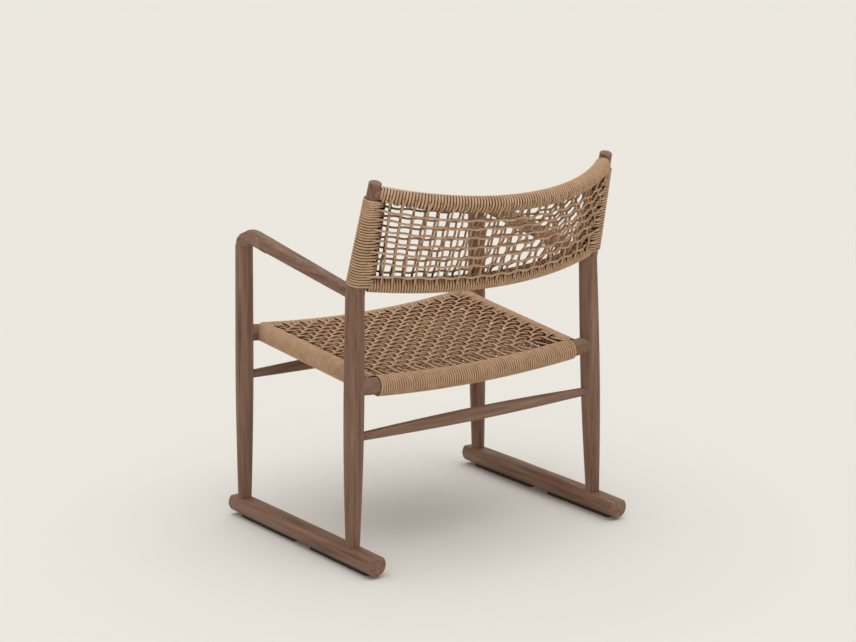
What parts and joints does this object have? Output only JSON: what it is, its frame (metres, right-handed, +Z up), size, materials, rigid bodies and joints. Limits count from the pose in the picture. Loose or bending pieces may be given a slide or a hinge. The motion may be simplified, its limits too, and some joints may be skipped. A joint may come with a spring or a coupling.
{
  "type": "armchair",
  "caption": "Low wooden armchair on runner feet with round turned legs, sloping armrests and a cord-woven seat and curved back.",
  "frame": {"origin": "centre of the chair's footprint box, on the floor", "axes": "+X to the left-hand side of someone sitting in the chair, +Y towards the back of the chair, +Z up"},
  "size_m": [0.648, 0.5868, 0.7679],
  "materials": {
    "wood": "open-grain grey-brown hardwood, oiled, satin",
    "cord": "twisted tan cord, matte",
    "glide": "dark matte glide",
    "steel": "plain screws and tacks"
  },
  "bodies": {
    "root": {"runner_left": "wood", "runner_right": "wood", "front_leg_left": "wood", "front_leg_right": "wood", "rear_post_left": "wood", "rear_post_right": "wood", "armrest_left": "wood", "armrest_right": "wood", "arm_front_dowels": "wood", "arm_rear_dowels": "wood", "seat_rail_front": "wood", "seat_rail_rear": "wood", "seat_rail_left": "wood", "seat_rail_right": "wood", "seat_rail_dowels": "wood", "side_rail_dowels": "wood", "stretcher_front": "wood", "stretcher_rear": "wood", "back_rail_top": "wood", "back_rail_bottom": "wood", "back_rail_dowels": "wood", "glide_front_left": "glide", "glide_front_right": "glide", "glide_rear_left": "glide", "glide_rear_right": "glide", "glide_screws": "steel", "seat_cord_tacks": "steel", "back_cord_tacks": "steel", "wrap_seat_front": "cord", "wrap_seat_rear": "cord", "wrap_seat_left": "cord", "wrap_seat_right": "cord", "wrap_back_top": "cord", "wrap_back_bottom": "cord", "wrap_post_left": "cord", "wrap_post_right": "cord", "seat_weave_top": "cord", "seat_weave_bottom": "cord", "back_weave_front": "cord", "back_weave_rear": "cord"}
  },
  "joints": []
}
